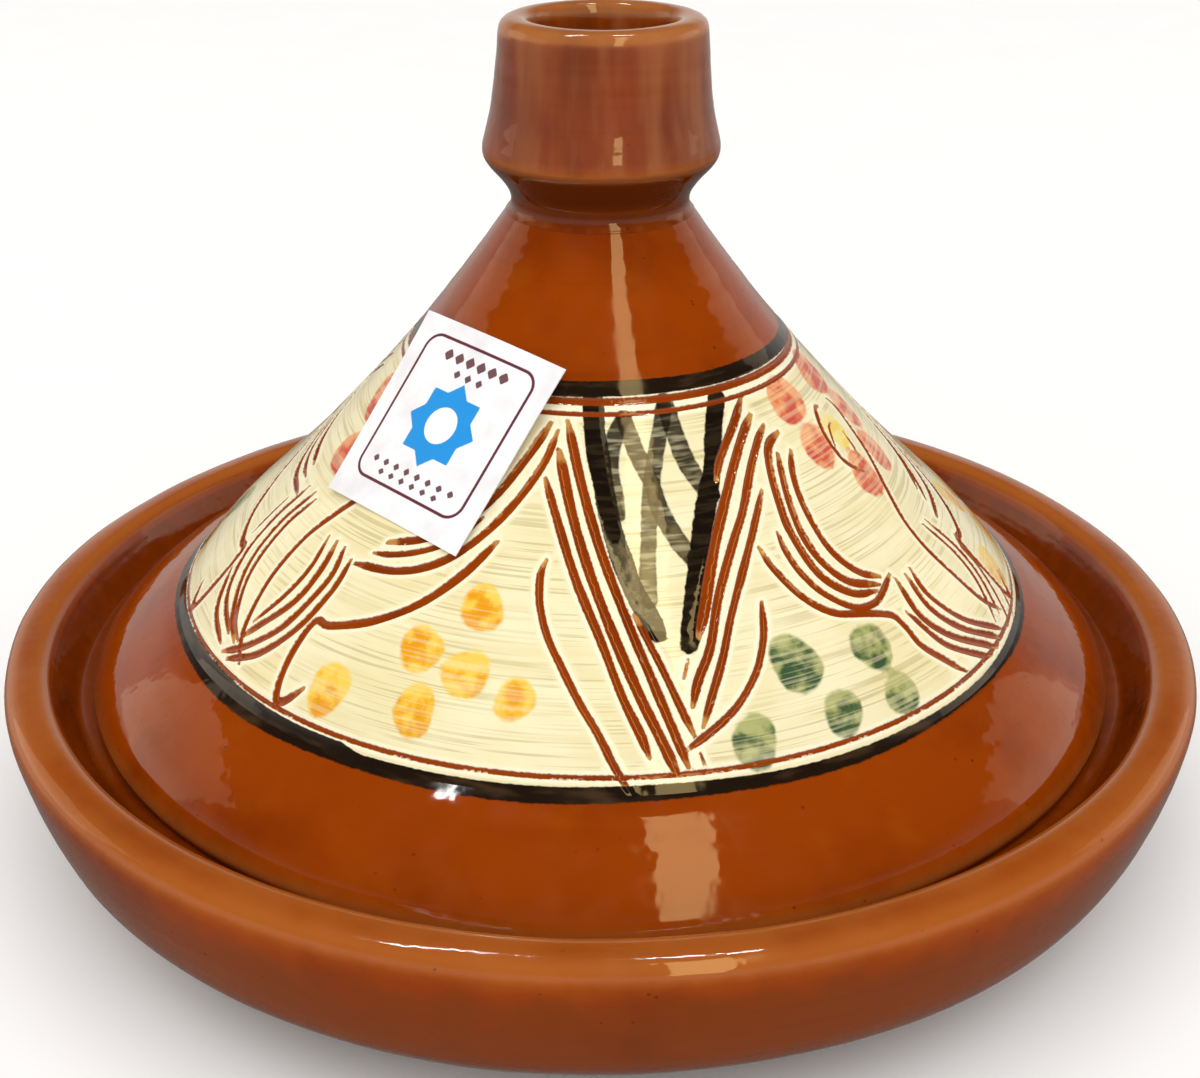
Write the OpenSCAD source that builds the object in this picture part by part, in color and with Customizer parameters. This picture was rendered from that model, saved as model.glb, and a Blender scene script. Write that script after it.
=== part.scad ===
// Tagine: a glazed clay cooking dish with a tall conical lid.
// Upright on its foot, the foot's centre at the origin, +Z up, the front towards -Y.
// Every clay piece is thrown on a wheel, so each is one profile turned about the Z axis.
// Profiles are lists of [radius, height] points, and their curves are bowed stretches.

/* [Dish] */
// Outer diameter just below the rounded rim edge
dish_d = 322; // [310:1:340]
// Height of the dish from the table to the top of its rim
dish_h = 59; // [56:1:70]
// Diameter of the flat foot that the dish stands on
foot_d = 208; // [180:1:230]
// Width of the rim's top face, its rounded edge included
rim_w = 11.5; // [10:0.5:14]
// Thickness of the bowl's wall and floor
dish_wall = 10; // [8:0.5:12]
// Depth of the seat that holds the lid, below the top of the rim
seat_depth = 13.5; // [11:0.5:16]
// Width of the flat seat ring that the lid stands on
seat_w = 14; // [12:0.5:18]

/* [Lid] */
// Diameter of the lid over its bottom edge
lid_d = 277.4; // [268:0.2:280]
// Height of the rounded shoulder, from the lid's foot to the ridge below the cone
shoulder_h = 23.3; // [21:0.1:28]
// Diameter of the ridge where the shoulder meets the cone
ridge_d = 228; // [216:1:234]
// Height of the cone, from the ridge to the neck under the knob
cone_h = 102.4; // [90:0.1:120]
// Diameter of the cone's flat top, which the knob is luted onto
neck_d = 46; // [42:1:50]
// How far the cone's side bows inwards at its middle
cone_bow = 3.4; // [0:0.1:6]
// Thickness of the lid's clay
lid_wall = 7.5; // [6:0.5:10]

/* [Knob] */
// Largest diameter of the knob, at its flared lower edge
knob_d = 59.6; // [56:0.2:66]
// Height of the knob
knob_h = 47; // [42:0.5:54]
// Diameter of the cup's mouth in the top of the knob
cup_d = 38; // [32:0.5:40]
// Depth of the cup in the top of the knob
cup_depth = 28; // [20:1:32]

/* [Label] */
// Width of the paper label
label_w = 48; // [40:1:50]
// Height of the paper label
label_h = 51; // [42:1:52]
// Thickness of the paper label with its adhesive
label_t = 0.3; // [0.2:0.1:0.5]
// Turn of the label about the Z axis, counted from the front
label_turn = -41.5; // [-180:0.5:180]
// Place of the label's middle down the cone's side, from 0 at the neck to 1 at the waist
label_place = 0.5; // [0.35:0.01:0.65]
// Tilt of the label in its own plane
label_tilt = -4.6; // [-10:0.1:10]

/* [Hidden] */
$fn = 96;
clay_color = [0.57, 0.26, 0.07];
slip_color = [0.95, 0.91, 0.72];
paper_color = [0.96, 0.96, 0.95];

// Heights of the levels that the pieces share
seat_z = dish_h - seat_depth;
ridge_z = seat_z + shoulder_h;
neck_z = ridge_z + cone_h;
top_z = neck_z + knob_h;

// Radii of the dish
dish_r = dish_d / 2;
mouth_r = dish_r - rim_w;
seat_r = lid_d / 2 + 2.8;
bowl_r = seat_r - seat_w;

// The cone's side bows inwards from the neck to the waist, then out a little to the ridge
neck = [neck_d / 2, neck_z];
waist = [ridge_d / 2 - 17, ridge_z + 19.2];
ridge = [ridge_d / 2, ridge_z];
// Height of the flat ceiling inside the cone
ceiling_z = neck_z - 9;

// Point at t, from 0 to 1, of a curve from a to b that bows s millimetres
// at its middle, to the left of the way
function bow_point(a, b, s, t) =
    let (along = b - a, left = [-along[1], along[0]] / norm(along))
    a + along * t + left * (4 * s * t * (1 - t));

// Points of such a curve after a, up to and with b
function bow(a, b, s, n = 6) = [for (i = [1:n]) bow_point(a, b, s, i / n)];

// Points of a profile moved w millimetres to the right of the way along it
function inset(p, w) =
    let (last = len(p) - 1)
    [for (i = [0:last])
        let (along = p[min(i + 1, last)] - p[max(i - 1, 0)])
        p[i] + [along[1], -along[0]] / norm(along) * w];

// Points of a profile in the opposite order
function reversed(p) = [for (i = [len(p) - 1:-1:0]) p[i]];

module dish() {
    foot_r = foot_d / 2;
    under = [dish_r * 0.87, dish_h * 0.237];
    belly = [dish_r * 0.953, dish_h * 0.45];
    widest = [dish_r, dish_h - 6.5];
    outside = concat(
        [[0, 0], [foot_r, 0]],
        bow([foot_r, 0], under, -1.6, 5),
        bow(under, belly, -1.2, 4),
        bow(belly, widest, -0.9, 4),
        bow(widest, [dish_r - 4.5, dish_h - 0.5], -1.6, 5));
    bowl_side = [belly[0] - dish_wall - 6, belly[1] - 3];
    inside = concat(
        [[mouth_r + 1.5, dish_h]],
        bow([mouth_r + 1.5, dish_h], [mouth_r - 0.6, dish_h - 1.8], 0.5, 3),
        bow([mouth_r - 0.6, dish_h - 1.8], [seat_r, seat_z], 0.6, 4),
        [[bowl_r + 1, seat_z]],
        bow([bowl_r + 1, seat_z], [bowl_r + 1, seat_z - 4], -0.8, 3),
        bow([bowl_r + 1, seat_z - 4], bowl_side, -1.5, 4),
        bow(bowl_side, [foot_r - 12, dish_wall], 4.5, 8),
        [[0, dish_wall]]);
    color(clay_color)
    rotate_extrude() polygon(concat(outside, inside));
}

module lid_cone() {
    lip = [lid_d / 2, seat_z + 2];
    cone_side = concat([neck], bow(neck, waist, -cone_bow, 10), bow(waist, ridge, 0.5, 3));
    shoulder = ridge + [18.6, -12.8];
    shoulder_side = concat(bow(ridge, shoulder, 0.6, 4), bow(shoulder, lip, 1.2, 5));
    foot = [lip[0] - 0.7, seat_z];
    inner_foot = [lid_d / 2 - lid_wall - 1, seat_z];
    cone_inside = [for (p = inset(cone_side, lid_wall))
        if (p[1] < ceiling_z && p[1] > ridge_z - 4) p];
    below_ridge = ridge + [-5, -9];
    inside = concat(cone_inside, [below_ridge], bow(below_ridge, inner_foot, 1.5, 5));
    color(slip_color)
    rotate_extrude()
    polygon(concat(
        [[0, neck_z]], cone_side, shoulder_side, [foot], reversed(inside),
        [[inside[0][0], ceiling_z], [0, ceiling_z]]));
}

module lid_knob() {
    knob_r = knob_d / 2;
    rim_r = knob_r - 4.4;
    cup_r = cup_d / 2;
    foot = [neck_d / 2 - 0.3, neck_z];
    flare = [knob_r - 0.9, neck_z + 11.4];
    side = [knob_r - 0.3, neck_z + 17];
    rim = [rim_r, top_z - 3];
    outside = concat(
        [[0, neck_z], foot],
        bow(foot, flare, 1.2, 5),
        bow(flare, side, -0.7, 4),
        bow(side, rim, 0.7, 6),
        bow(rim, [rim_r - 2.4, top_z - 0.4], -0.7, 4));
    cup_z = top_z - cup_depth;
    mouth = [cup_r + 1, top_z];
    cup_side = [cup_r - 2.5, cup_z + 8];
    cup = concat(
        [mouth],
        bow(mouth, [cup_r - 0.7, top_z - 2.5], 0.6, 4),
        [cup_side],
        bow(cup_side, [cup_r - 9, cup_z], 2, 5),
        [[0, cup_z]]);
    color(clay_color)
    rotate_extrude() polygon(concat(outside, cup));
}

// A flat sheet that rests on the cone's side at two heights, turned to its place
module label() {
    reach = label_h / 2 / norm(waist - neck);
    high = bow_point(neck, waist, -cone_bow, label_place - reach);
    low = bow_point(neck, waist, -cone_bow, label_place + reach);
    middle = (low + high) / 2;
    lean = atan2(high[1] - low[1], low[0] - high[0]);
    // Clear space under the sheet, so that its corners stay off the cone
    gap = 0.15;
    color(paper_color)
    rotate([0, 0, label_turn])
    translate([0, -middle[0], middle[1]])
    rotate([lean, 0, 0])
    rotate([0, 0, label_tilt])
    translate([-label_w / 2, -label_h / 2, gap])
    cube([label_w, label_h, label_t]);
}

dish();
lid_cone();
lid_knob();
label();
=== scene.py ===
"""Looks of the glazed tagine: dish, conical lid with an incised slip band, knob and label.

Lengths are in millimetres until a mesh is made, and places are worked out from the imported
frame. The decoration is drawn on the cone unrolled flat, where a point is given as degrees
round the cone and per cent up the field.
"""

import math
import random

import bmesh
import bpy
import numpy as np
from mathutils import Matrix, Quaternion, Vector, noise
from mathutils.geometry import delaunay_2d_cdt


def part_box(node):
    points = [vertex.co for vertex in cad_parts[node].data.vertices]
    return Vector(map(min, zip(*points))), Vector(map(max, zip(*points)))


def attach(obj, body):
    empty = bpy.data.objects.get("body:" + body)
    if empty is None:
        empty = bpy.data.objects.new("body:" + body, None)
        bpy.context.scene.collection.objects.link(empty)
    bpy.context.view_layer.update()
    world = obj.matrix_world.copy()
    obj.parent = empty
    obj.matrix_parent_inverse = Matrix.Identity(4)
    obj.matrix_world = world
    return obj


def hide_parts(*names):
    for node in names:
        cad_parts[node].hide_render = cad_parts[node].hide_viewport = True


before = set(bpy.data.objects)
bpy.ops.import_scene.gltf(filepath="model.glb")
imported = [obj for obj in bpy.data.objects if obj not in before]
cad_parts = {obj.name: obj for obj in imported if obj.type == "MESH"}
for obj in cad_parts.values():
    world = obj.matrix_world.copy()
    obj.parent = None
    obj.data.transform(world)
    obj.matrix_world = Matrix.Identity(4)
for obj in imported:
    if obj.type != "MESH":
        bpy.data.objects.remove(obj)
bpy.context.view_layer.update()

MM = 0.001
random.seed(11)


# ---------------------------------------------------------------- sizes from the frame

def corners(node):
    """Lowest and highest corner of a CAD node, in millimetres."""
    low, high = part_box(node)
    return np.array(low) / MM, np.array(high) / MM


DISH_R, _, DISH_H = corners("dish")[1]
SEAT_Z = corners("lid_cone")[0][2]
NECK_Z = corners("lid_cone")[1][2]
TOP_Z = corners("lid_knob")[1][2]

# The lid's own proportions, as the CAD model has them, with radius first and height second
NECK_R = 23
RIDGE = np.array([114, SEAT_Z + 23.3])
WAIST = RIDGE + (-17, 19.2)
CONE_BOW = -3.4
# Way from the cone's outside to its inside, through 7.5 mm of clay
LID_WALL = (-5.4, -5.2)

# Heights of the decorated field, and of the top edge of the slip above it
FIELD_LOW = RIDGE[1] + 3.2
FIELD_HIGH = RIDGE[1] + 65.6
BAND_TOP = RIDGE[1] + 70.6
# Distance that stands for being clear of every cut and every black band
FAR = 6.0


# ---------------------------------------------------------------- profiles

def bow_point(a, b, bow, t):
    """Point at t, from 0 to 1, of a curve from a to b that bows to the left of the way."""
    a = np.asarray(a, float)
    along = np.asarray(b, float) - a
    left = np.array([-along[1], along[0]]) / np.hypot(*along)
    return a + along * t + left * (4 * bow * t * (1 - t))


def smooth(knots, step):
    """Points every step millimetres on a smooth curve (Catmull-Rom) through the knots."""
    knots = np.asarray(knots, float)
    first = 2 * knots[0] - knots[1]
    last = 2 * knots[-1] - knots[-2]
    k = np.vstack([first, knots, last])
    out = [knots[0]]
    for i in range(1, len(k) - 2):
        chord = np.hypot(*(k[i + 1] - k[i]))
        count = max(1, round(chord / step))
        for j in range(1, count + 1):
            t = j / count
            a = 2 * k[i]
            b = k[i + 1] - k[i - 1]
            c = 2 * k[i - 1] - 5 * k[i] + 4 * k[i + 1] - k[i + 2]
            d = 3 * k[i] - k[i - 1] - 3 * k[i + 1] + k[i + 2]
            out.append((a + b * t + c * t * t + d * t ** 3) / 2)
    return out


def path_of(runs, step):
    """One path through several smooth runs, each starting where the last one ends."""
    path = smooth(runs[0], step)
    for run in runs[1:]:
        path += smooth([path[-1]] + list(run), step)
    return np.array(path)


def cone_profile(step):
    """The cone's side from the neck down to the ridge, as (radius, height)."""
    upper = [bow_point((NECK_R, NECK_Z), WAIST, CONE_BOW, t) for t in np.linspace(0, 1, 9)]
    lower = [bow_point(WAIST, RIDGE, 0.5, t) for t in (0.5, 1)]
    return path_of([upper + lower], step)


# ---------------------------------------------------------------- thrown clay

# Spacing of the points on the outlines of the dish and the lid, and on the knob's
CLAY_STEP = 1.7
KNOB_STEP = 0.8
# Size and depth of the throwing rings, and how far they climb for each radian
RING_SIZE = 5.0
RING_DEPTH = 0.10
RING_CLIMB = 1.2
# Sizes of the broad lobes and the small lumps in the clay, and the depth of the lumps
LOBE_SIZE = 70
LUMP_SIZE = 16
LUMP_DEPTH = 0.10


def unevenness(x, y, z, size):
    """Smooth random value near -1 to 1, for a place in millimetres and a feature size."""
    return noise.noise(Vector((x, y, z)) / size)


def curvature(path, reach=2.5):
    """How sharply a path turns at each point: above 0 where the clay's edge stands out."""
    steps = np.hypot(*np.diff(path, axis=0).T)
    length = np.concatenate([[0], np.cumsum(steps)])
    turn = np.zeros(len(path))
    for i, s in enumerate(length):
        before = [np.interp(s - reach, length, path[:, c]) for c in (0, 1)]
        after = [np.interp(s + reach, length, path[:, c]) for c in (0, 1)]
        u = path[i] - before
        v = np.array(after) - path[i]
        if np.hypot(*u) > 0.1 and np.hypot(*v) > 0.1:
            turn[i] = math.atan2(u[0] * v[1] - u[1] * v[0], u @ v)
    return turn


def turned(name, path, segments, calm, lobes, skin=None, lean=0.0):
    """A closed clay piece: the path turned about the axis, with the unevenness of the wheel.

    The path runs counter-clockwise from the axis back to the axis. calm(r, z) is 0 where
    the clay must stay true, lobes is the depth of the broad unevenness, skin is the path
    as the glaze sees it, and lean moves the top of the piece sideways.
    """
    steps = np.hypot(*np.diff(path, axis=0).T)
    length = np.concatenate([[0], np.cumsum(steps)])
    along = np.gradient(path, axis=0)
    normal = np.stack([along[:, 1], -along[:, 0]], 1)
    normal /= np.maximum(np.hypot(*normal.T), 1e-9)[:, None]
    edge = curvature(path if skin is None else skin)
    z0 = path[:, 1].min()
    z1 = path[:, 1].max()
    verts, faces, bending, under = [], [], [], []
    for i, (r, z) in enumerate(path):
        on_axis = i in (0, len(path) - 1)
        for k in range(1 if on_axis else segments):
            a = 2 * math.pi * k / segments
            x = r * math.sin(a)
            y = -r * math.cos(a)
            rings = unevenness(0, 0, length[i] + a * RING_CLIMB, RING_SIZE) * RING_DEPTH
            broad = unevenness(x, y, z, LOBE_SIZE) * lobes
            push = rings + broad + unevenness(x, y, z, LUMP_SIZE) * LUMP_DEPTH
            push *= calm(r, z)
            rr, zz = np.array([r, z]) + normal[i] * push
            shift = lean * (zz - z0) / (z1 - z0)
            verts.append((rr * math.sin(a) + shift, -rr * math.cos(a), zz))
            bending.append(edge[i])
            under.append(-normal[i, 1])

    def point(i, k):
        """Number of a point: the path's point i, k segments round the axis."""
        return 0 if i == 0 else 1 + (i - 1) * segments + k % segments

    for i in range(len(path) - 1):
        for k in range(segments):
            face = (point(i, k), point(i, k + 1), point(i + 1, k + 1), point(i + 1, k))
            if i == 0:
                face = (0, point(1, k + 1), point(1, k))
            elif i == len(path) - 2:
                face = (point(i, k), point(i, k + 1), point(i + 1, 0))
            faces.append(face)
    obj = mesh_object(name, verts, faces)
    add_values(obj, "edge", bending)
    add_values(obj, "under", under)
    return obj


def linked(name, data):
    """A new object in the scene."""
    obj = bpy.data.objects.new(name, data)
    bpy.context.scene.collection.objects.link(obj)
    return obj


def mesh_object(name, verts, faces, sharp=50):
    """A smooth-shaded object from points in millimetres, with its sharper edges kept."""
    mesh = bpy.data.meshes.new(name)
    mesh.from_pydata([tuple(c * MM for c in v) for v in verts], [], faces)
    mesh.polygons.foreach_set("use_smooth", [True] * len(mesh.polygons))
    mesh.set_sharp_from_angle(angle=math.radians(sharp))
    return linked(name, mesh)


def places_of(obj):
    """Radius, height and angle in degrees of an object's points; 0 degrees is the front."""
    x, y, z = (np.array([v.co for v in obj.data.vertices]) / MM).T
    return np.hypot(x, y), z, np.degrees(np.arctan2(x, -y))


def values_of(obj, name):
    """The numbers that add_values gave an object's points."""
    return np.array([v.value for v in obj.data.attributes[name].data])


def add_values(obj, name, values):
    """A number for every point, which the materials read by name."""
    layer = obj.data.attributes.get(name) or obj.data.attributes.new(name, "FLOAT", "POINT")
    layer.data.foreach_set("value", np.asarray(values, np.float32))


def add_tints(obj, name, tints):
    """A colour for every point, which the materials read by name."""
    layer = obj.data.color_attributes.new(name, "FLOAT_COLOR", "POINT")
    rgba = np.ones((len(tints), 4), np.float32)
    rgba[:, :3] = tints
    layer.data.foreach_set("color", rgba.ravel())


def make_dish():
    """The dish, with its foot, rounded rim, lid channel, seat and bowl."""
    drawn_r = 161.0
    drawn_h = 59.0
    hollow = [(0, 0.6), (60, 0.6), (96, 0.5)]
    foot = [(99, 0), (103, 0)]
    wall = [(106, 0.6), (121, 4.6), (133, 10.2), (143.6, 16.6), (150.0, 21.9), (153.8, 27.4),
            (156.8, 35.6), (158.9, 43.6), (160.1, 49.5)]
    rim = [(160.5, 53.2), (159.9, 56.0), (157.7, 57.9), (154.4, 58.6), (151.0, 58.7), (149.2, 57.6)]
    seat = [(147.6, 54.8), (144.6, 49.6), (142.6, 46.6), (140.2, 45.4), (134, 45.4), (130.2, 45.3)]
    bowl = [(128.4, 44.2), (128.1, 42.0), (129.6, 37), (133, 30), (134.5, 24.5), (131, 19.5),
            (122, 15), (108, 11.3), (90, 10.1), (50, 10.0), (0, 10.0)]
    path = path_of([hollow, foot, wall + rim + seat + bowl], CLAY_STEP)
    path[:, 0] *= DISH_R / drawn_r
    path[:, 1] = np.maximum(path[:, 1] * DISH_H / drawn_h, 0)

    def calm(r, z):
        """0 on the foot and on the seat, which stay flat."""
        return 0.0 if z < 0.7 or (128 < r < 142 and abs(z - SEAT_Z) < 1.5) else 1.0

    obj = turned("dish_clay", path, 256, calm, 0.35)
    radius, height, _ = places_of(obj)
    # The lid's channel is painted darker, as painted shade, and its floor gets none of the painted light of
    # faces that look up
    channel = (radius > 131) & (radius < 148) & (height < DISH_H - 4) & (height > SEAT_Z - 2)
    for name, inside in (("edge", -0.4), ("under", 0.0)):
        add_values(obj, name, np.where(channel, inside, values_of(obj, name)))
    return obj


def lid_outline(sunk):
    """The lid's outline, with the clay under the slip set back by the vector sunk."""
    side = cone_profile(CLAY_STEP)[::-1]
    seam = np.array([np.interp(BAND_TOP, side[:, 1], side[:, 0]), BAND_TOP])
    hidden = [p + sunk for p in side if RIDGE[1] + 1 < p[1] < BAND_TOP - 1]
    bare = [p for p in side if p[1] > BAND_TOP + 0.5]
    inside = [p + LID_WALL for p in side[::-1] if RIDGE[1] + 3 < p[1] < NECK_Z - 6]
    top = inside[0]
    ceiling = smooth([(0, NECK_Z - 9), (10, NECK_Z - 9.3), top + (-3, 3.5), top], CLAY_STEP)
    foot = smooth([inside[-1], (112, 60.6), (120, 55.2), (126, 50.4), (130.4, 46.4),
                   (131.8, SEAT_Z)], CLAY_STEP)
    bulge = smooth([(136.8, SEAT_Z), (138.0, 46.4), (138.3, 48.4), (136.7, 51.8), (133.3, 55.8),
                    (128.8, 59.6), (123.8, 63.2), (118.8, 66.4), RIDGE], CLAY_STEP)
    return np.array([*ceiling, *inside[1:], *foot[1:], *bulge, RIDGE + sunk, *hidden,
                     seam + sunk, seam, *bare, (12, NECK_Z), (0, NECK_Z)])


def make_lid():
    """The lid's clay: bare below the neck and on the shoulder, recessed under the slip."""
    def calm(r, z):
        """0 at the foot, the ridge, the slip's top edge and the neck, and 1 from 3 mm away."""
        clear = min(z - SEAT_Z - 0.5, NECK_Z - z - 0.3, abs(z - RIDGE[1]), abs(z - BAND_TOP))
        return min(1, max(0, clear / 3))

    recessed = lid_outline((-1.2, -1.1))
    obj = turned("lid_clay", recessed, 256, calm, 0.2, skin=lid_outline((0, 0)))
    radius, height, angle = places_of(obj)
    below = np.minimum(0, height - RIDGE[1]) * 1.3
    outside = radius > cone.radius_at(height) - 0.7
    gap = band_gap(angle, cone.up_of(height) + below)
    add_values(obj, "band", np.where(outside, gap, FAR))
    add_values(obj, "edge", np.where(height > NECK_Z - 3, 0, values_of(obj, "edge")))
    return obj


def make_knob():
    """The hollow knob, blended into the cone, with its undercut, flare, rolled rim and cup."""
    # Radius, and height above the neck
    foot = [(0, -1.5), (20, -1.5), (23.6, -1.5)]
    flare = [(23.9, -0.9), (23.0, 0.1), (22.5, 1.4), (22.5, 3.0), (23.4, 5.2), (25.5, 8.1),
             (28.1, 11.0), (29.4, 13.2), (29.6, 15.6), (28.9, 18.8), (27.6, 24.5), (26.7, 31),
             (26.1, 38)]
    # Radius, and depth below the top
    rim = [(25.7, 3.8), (25.0, 1.6), (23.4, 0.6), (21.2, 0.3), (19.2, 0.7), (18.1, 2.0)]
    cup = [(17.3, 8), (16.6, 16), (15.4, 22), (12.3, 26.5), (7, 28), (0, 28.2)]
    foot = [(r, NECK_Z + up) for r, up in foot]
    flare = [(r, NECK_Z + up) for r, up in flare]
    path = path_of([foot, flare + [(r, TOP_Z - down) for r, down in rim + cup]], KNOB_STEP)

    def calm(r, z):
        """0 at the neck, rising above it."""
        return min(0.9, max(0, (z - NECK_Z) / 2))

    obj = turned("knob_clay", path, 224, calm, 0.25, lean=0.9)
    radius, height, _ = places_of(obj)
    # Painted shade darkens the neck under the flare; the rim is worn, and the inside of the cup is painted
    # lighter, as painted light
    neck = np.interp(height - NECK_Z, (-0.6, 1.2, 3, 5), (0, -0.45, -0.45, 0))
    edge = np.where(height < NECK_Z + 5, neck, values_of(obj, "edge"))
    worn_rim_lit_cup = (radius < 25) & (height > TOP_Z - 12)
    add_values(obj, "edge", np.where(worn_rim_lit_cup, edge + 0.2, edge))
    return obj


# ---------------------------------------------------------------- the unrolled cone

class Cone:
    """The side of the cone between the ridge and the neck, unrolled flat."""

    def __init__(self):
        self.side = cone_profile(0.4)[::-1]
        steps = np.hypot(*np.diff(self.side, axis=0).T)
        self.up = np.concatenate([[0], np.cumsum(steps)])
        self.height = self.up_of(BAND_TOP)
        self.share = (self.side[0, 0] - self.radius_at(BAND_TOP)) / self.height
        self.reach = self.side[0, 0] / self.share
        along = np.gradient(self.side, axis=0)
        along /= np.hypot(*along.T)[:, None]
        self.normal = np.stack([along[:, 1], -along[:, 0]], 1)

    def radius_at(self, z):
        """Radius of the side at a height."""
        return np.interp(z, self.side[:, 1], self.side[:, 0])

    def flat(self, angle, up):
        """Flat place of a point at an angle in degrees and a distance up from the ridge."""
        turn = np.radians(angle) * self.share
        out = self.reach - np.asarray(up, float)
        return np.stack([out * np.sin(turn), -out * np.cos(turn)], -1)

    def up_of(self, z):
        """Distance up the side at a height."""
        return np.interp(z, self.side[:, 1], self.up)

    def spot(self, angle, percent):
        """Flat place of a point of the decoration, in degrees and per cent up the field."""
        z = FIELD_LOW + (FIELD_HIGH - FIELD_LOW) * np.asarray(percent, float) / 100
        return self.flat(angle, self.up_of(z))

    def polar(self, flat):
        """Angle in degrees and distance up from the ridge of flat places."""
        flat = np.asarray(flat, float)
        out = np.hypot(flat[:, 0], flat[:, 1])
        angle = np.degrees(np.arctan2(flat[:, 0], -flat[:, 1])) / self.share
        return angle, self.reach - out

    def place(self, angle, up, lift):
        """Points in space, lifted off the side by lift millimetres."""
        r, z = [np.interp(up, self.up, self.side[:, c]) + lift * np.interp(up, self.up, self.normal[:, c])
                for c in (0, 1)]
        a = np.radians(angle)
        return np.stack([r * np.sin(a), -r * np.cos(a), z], 1)


cone = Cone()


def turn_flat(flat, turns):
    """Flat places moved on by whole turns round the cone."""
    turn = 2 * math.pi * turns * cone.share
    c = math.cos(turn)
    s = math.sin(turn)
    return np.asarray(flat) @ np.array([[c, s], [-s, c]])


class Stroke:
    """A line drawn on the unrolled cone, with a half-width that varies along it.

    It starts and ends at the shares taper of its width, and is full from fade millimetres in.
    """

    def __init__(self, points, width, taper=(0.5, 0.5), fade=4.0, step=1.2):
        flat = np.array([cone.spot(*p) for p in points])
        self.line = np.array(smooth(flat, step))
        steps = np.hypot(*np.diff(self.line, axis=0).T)
        self.along = np.concatenate([[0], np.cumsum(steps)])
        total = self.along[-1]
        start = taper[0] + (1 - taper[0]) * np.clip(self.along / fade, 0, 1)
        stop = taper[1] + (1 - taper[1]) * np.clip((total - self.along) / fade, 0, 1)
        wander = [noise.noise(Vector((s / 9, width, total))) for s in self.along]
        self.half = width / 2 * start * stop * (1 + 0.16 * np.array(wander))

    def turned(self, turns):
        """The same stroke after whole turns round the cone."""
        copy = object.__new__(Stroke)
        copy.line = turn_flat(self.line, turns)
        copy.along = self.along
        copy.half = self.half
        return copy

    def offset(self, out):
        """Points beside the line, out millimetres beyond its half-width, on both sides."""
        along = np.gradient(self.line, axis=0)
        along /= np.maximum(np.hypot(*along.T), 1e-9)[:, None]
        left = np.stack([-along[:, 1], along[:, 0]], 1)
        far = np.maximum(self.half + out, 0.02)[:, None]
        return self.line + left * far, self.line - left * far

    def measure(self, points):
        """For each point: its distance outside the stroke, how far along it lies, the half-width."""
        best = np.full(len(points), 1e3)
        along = np.zeros(len(points))
        half = np.zeros(len(points))
        for i in range(len(self.line) - 1):
            way = self.line[i + 1] - self.line[i]
            rel = points - self.line[i]
            t = np.clip(rel @ way / max(way @ way, 1e-9), 0, 1)
            off = rel - t[:, None] * way
            width = self.half[i] + (self.half[i + 1] - self.half[i]) * t
            gap = np.hypot(off[:, 0], off[:, 1]) - width
            nearer = gap < best
            best = np.where(nearer, gap, best)
            along = np.where(nearer, self.along[i] + t * (self.along[i + 1] - self.along[i]), along)
            half = np.where(nearer, width, half)
        return best, along, half


# ---------------------------------------------------------------- the drawing

# Angles of the three pointed motifs and of the three flowers with their leaves
V_AXES = (10, 126, -124)
FLOWER_AXES = (67, 181, -57)

# Each drawn line is (width in mm, points), with angles counted from the axis of its motif.
# Cut lines on the left side of each point, from the outer one inwards
LEFT_FLANK = (
    (1.9, [(-19.3, 57.5), (-20, 53), (-19.4, 45), (-17.7, 37), (-15.3, 29.5), (-12.7, 20.5), (-10.3, 12.3),
           (-8.3, 3), (-6.5, -4.5)]),
    (2.2, [(-22, 80.5), (-18, 67.5), (-14, 52), (-10, 36.5), (-7.2, 22), (-5.2, 12), (-4.2, 5)]),
    (2.6, [(-20, 89), (-16, 71.5), (-12, 54), (-8, 36), (-5, 21), (-3.1, 11), (-1.4, 0)]),
    (2.3, [(-18.4, 98), (-14, 79.5), (-10, 61), (-6.2, 43), (-3.4, 28), (-1.4, 15), (0.3, 1.6)]),
    (1.8, [(-4.8, 43), (-3.1, 36), (-1.6, 29), (0.1, 19), (1.5, 9.8)]),
)
# Cut lines on the right side of each point, from the inner one outwards
RIGHT_FLANK = (
    (2.2, [(31.2, 99.3), (26.6, 93.9), (21.8, 88.3), (17.7, 82.6), (15.2, 77)]),
    (2.6, [(31.9, 93.6), (26.6, 88.3), (21.5, 81.2), (16.5, 72), (12.2, 62), (8.4, 50), (6.4, 42),
           (4.6, 35.5)]),
    (1.3, [(2.3, 30.5), (1.2, 25.5)]),
    (2.3, [(33.9, 89.3), (29.1, 84.7), (24.1, 77.6), (19, 67.7), (13.9, 57.8), (8.9, 45), (5.7, 32.7),
           (3, 24.5), (1.7, 17.9)]),
    (2.0, [(24.8, 71.6), (20.3, 63.4), (15.2, 52.8), (10.1, 40), (7, 29.6), (4.3, 20), (2.5, 12.3)]),
    (1.9, [(16.2, 42), (14.8, 34.6), (13.5, 30), (11.5, 24.2), (8.2, 17.2), (4.8, 12), (0.6, 6.5)]),
    (1.5, [(2, 5.4), (2.4, 0.8)]),
)
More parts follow.
